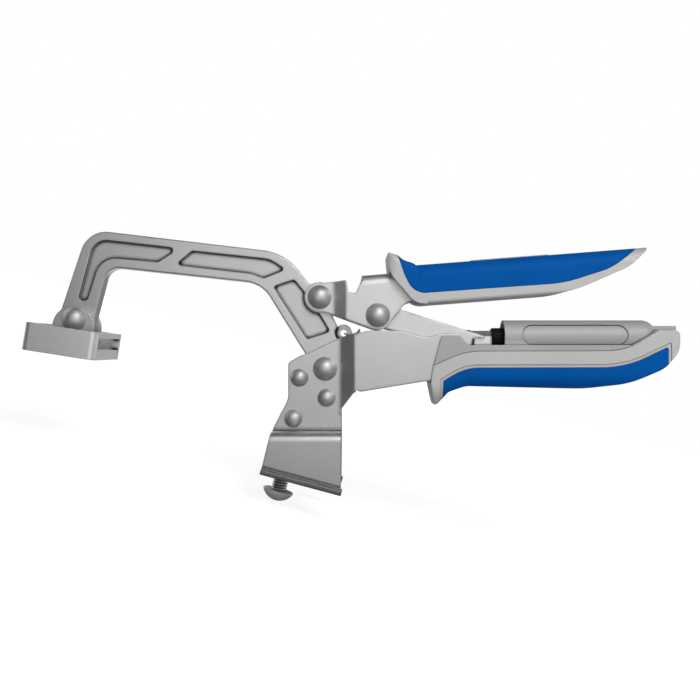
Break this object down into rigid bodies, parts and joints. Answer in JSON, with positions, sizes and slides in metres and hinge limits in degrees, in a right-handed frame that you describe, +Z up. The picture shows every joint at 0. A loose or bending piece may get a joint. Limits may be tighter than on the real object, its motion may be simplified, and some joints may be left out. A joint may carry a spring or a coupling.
{
  "type": "bench clamp",
  "caption": "Toggle clamp for a bench plate: a C arm with a swivelling pad, blue grips, a riveted steel body and a foot with a headed stud.",
  "frame": {"origin": "where the stud's axis crosses the level face under the foot", "axes": "+Z up out of the bench, +X from the stud towards the grips, +Y to the far side"},
  "size_m": [0.3067, 0.048, 0.1681],
  "materials": {
    "forged_steel": "satin nickel plating over forged steel",
    "sheet_steel": "satin nickel plating over pressed sheet",
    "rivet_steel": "satin, turned and domed",
    "pad_steel": "satin nickel plating over a casting",
    "bright_steel": "bright zinc plating",
    "spring_steel": "bright drawn wire",
    "black_steel": "black oxide",
    "housing_plastic": "fine grain, mid grey",
    "grip_grey": "fine grain, light grey",
    "grip_blue": "soft cover, satin blue",
    "bush_plastic": "plain"
  },
  "bodies": {
    "frame": {"side_plate_left": "sheet_steel", "side_plate_right": "sheet_steel", "stud_block": "forged_steel", "foot_stud": "bright_steel", "frame_rivets": "rivet_steel", "arm_pivot_rivet": "rivet_steel", "spring_anchor_pin": "bright_steel", "lower_housing_left": "housing_plastic", "lower_housing_right": "housing_plastic", "housing_screws": "bright_steel", "lower_grip_shell": "grip_grey", "lower_grip_cover": "grip_blue", "barrel_bush": "bush_plastic", "barrel_spring": "spring_steel", "return_spring": "spring_steel"},
    "arm": {"arm": "forged_steel", "pad_rivet": "rivet_steel"},
    "pad": {"pad_shoe": "pad_steel", "pad_bracket": "sheet_steel"},
    "lever": {"lever": "sheet_steel", "lever_rivet": "rivet_steel", "link_rivet": "rivet_steel", "upper_grip_rim": "grip_grey", "upper_grip_cover": "grip_blue", "grip_inlay": "grip_grey"},
    "link": {"link": "sheet_steel", "link_end_pin": "bright_steel"},
    "carriage": {"trunnion": "bright_steel"},
    "thumb_wheel": {"thumb_wheel": "black_steel"},
    "screw": {"adjusting_screw": "black_steel"}
  },
  "joints": [
    {"name": "arm_hinge", "type": "hinge", "parent": "frame", "child": "arm", "pos_m": [0.00705, 0, 0.0558], "axis": [0, 1, 0], "range_deg": [0, 14], "deforming": ["return_spring"]},
    {"name": "pad_swivel", "type": "hinge", "parent": "arm", "child": "pad", "pos_m": [-0.11856, 0, 0.0474], "axis": [0, 1, 0], "range_deg": [-20, 20]},
    {"name": "lever_hinge", "type": "hinge", "parent": "arm", "child": "lever", "pos_m": [-0.0047, 0, 0.08919], "axis": [0, -1, 0], "range_deg": [0, 38]},
    {"name": "link_hinge", "type": "hinge", "parent": "lever", "child": "link", "pos_m": [0.02524, 0, 0.08779], "axis": [0, 1, 0], "range_deg": [0, 40.6]},
    {"name": "carriage_slide", "type": "slide", "parent": "frame", "child": "carriage", "axis": [0.9659, 0, 0.2588], "range_m": [0, 0.00583], "deforming": ["barrel_spring"]},
    {"name": "screw_slide", "type": "slide", "parent": "carriage", "child": "screw", "axis": [0.9659, 0, 0.2588], "range_m": [-0.002, 0.002]},
    {"name": "wheel_spin", "type": "hinge", "parent": "carriage", "child": "thumb_wheel", "pos_m": [0.08593, 0, 0.09329], "axis": [0.9659, 0, 0.2588], "range_deg": [-720, 720]}
  ],
  "couplings": [
    {"joint": "lever_hinge", "follows": "arm_hinge", "ratio": 2.7143},
    {"joint": "link_hinge", "follows": "arm_hinge", "ratio": 2.9},
    {"joint": "carriage_slide", "follows": "arm_hinge", "m_per_rad": 0.02386},
    {"joint": "wheel_spin", "follows": "screw_slide", "rad_per_m": 6283.2}
  ]
}
